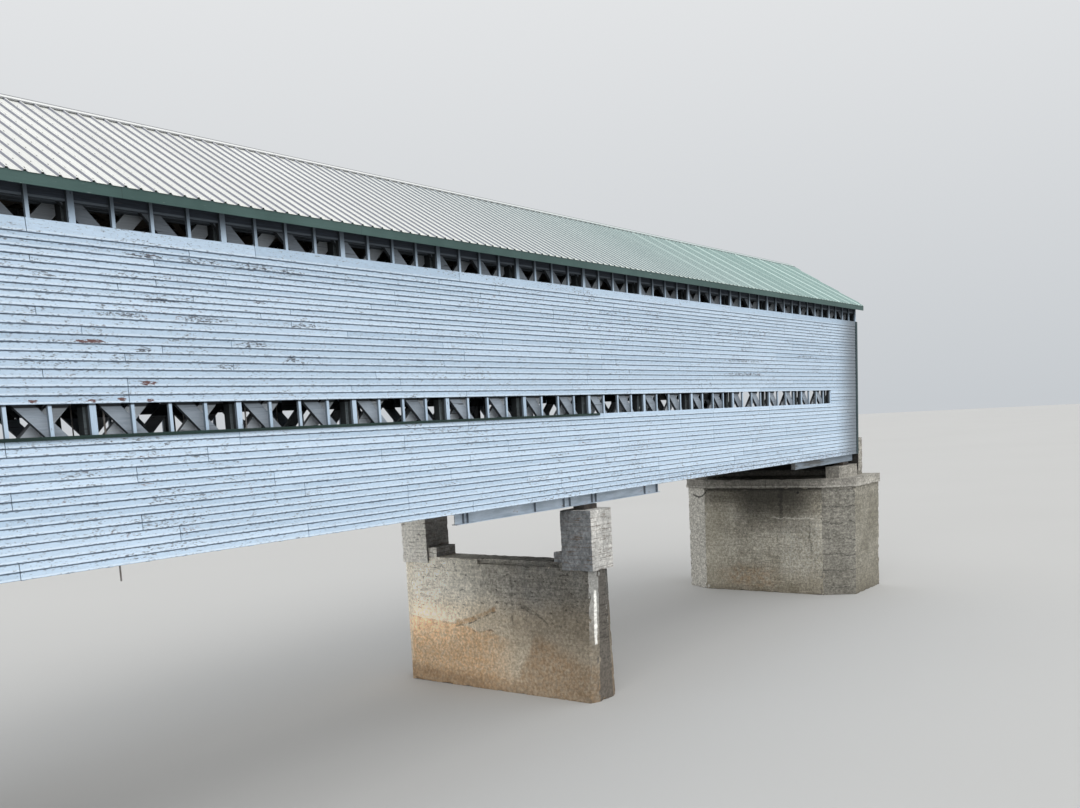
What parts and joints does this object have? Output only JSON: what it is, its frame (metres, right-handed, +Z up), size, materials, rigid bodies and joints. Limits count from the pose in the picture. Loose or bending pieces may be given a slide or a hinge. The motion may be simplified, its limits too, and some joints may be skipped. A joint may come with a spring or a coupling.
{
  "type": "covered bridge",
  "caption": "Timber covered bridge with lattice trusses, clapboard walls and a ribbed metal gable roof, on a concrete pier and two concrete abutments.",
  "frame": {"origin": "centre of the bridge in plan, level with the feet of the pier and the abutments", "axes": "+X along the roadway, +Y across it towards the upstream side, +Z up"},
  "size_m": [39.48, 7.26, 13.0127],
  "materials": {
    "concrete": "weathered cast concrete with form lines and stains",
    "timber": "weathered grey sawn timber",
    "paint": "pale blue-grey painted clapboards, peeling in places",
    "trim": "dark green painted boards",
    "roofing": "pale green painted ribbed steel",
    "steel": "pale painted steel with rust at its edges",
    "iron": "rusty wrought iron"
  },
  "bodies": {
    "root": {"pier": "concrete", "pedestal_near": "concrete", "pedestal_far": "concrete", "abutment_left": "concrete", "abutment_right": "concrete", "bridge_seat_left": "concrete", "bridge_seat_right": "concrete", "bearing_blocks": "concrete", "bearing_plates": "iron", "pier_girders": "steel", "end_bolsters": "timber", "lower_chords": "timber", "upper_chords": "timber", "outer_lattice_near": "timber", "outer_lattice_far": "timber", "inner_lattice_near": "timber", "inner_lattice_far": "timber", "posts": "timber", "tie_rods": "iron", "studs": "timber", "floor_beams": "timber", "deck": "timber", "wheel_guards": "timber", "lower_bracing": "timber", "tie_beams": "timber", "upper_bracing": "timber", "knee_braces": "timber", "wall_plates": "timber", "rafters": "timber", "ridge_board": "timber", "roof_battens": "timber", "roof_near": "roofing", "roof_far": "roofing", "ridge_cap": "roofing", "fascia_boards": "trim", "upper_siding_near": "paint", "upper_siding_far": "paint", "lower_siding_near": "paint", "lower_siding_far": "paint", "end_infill": "paint", "sill_boards": "trim", "corner_boards": "trim", "portal_siding_left": "paint", "portal_siding_right": "paint", "portal_trim": "trim", "portal_frames": "timber"}
  },
  "joints": []
}
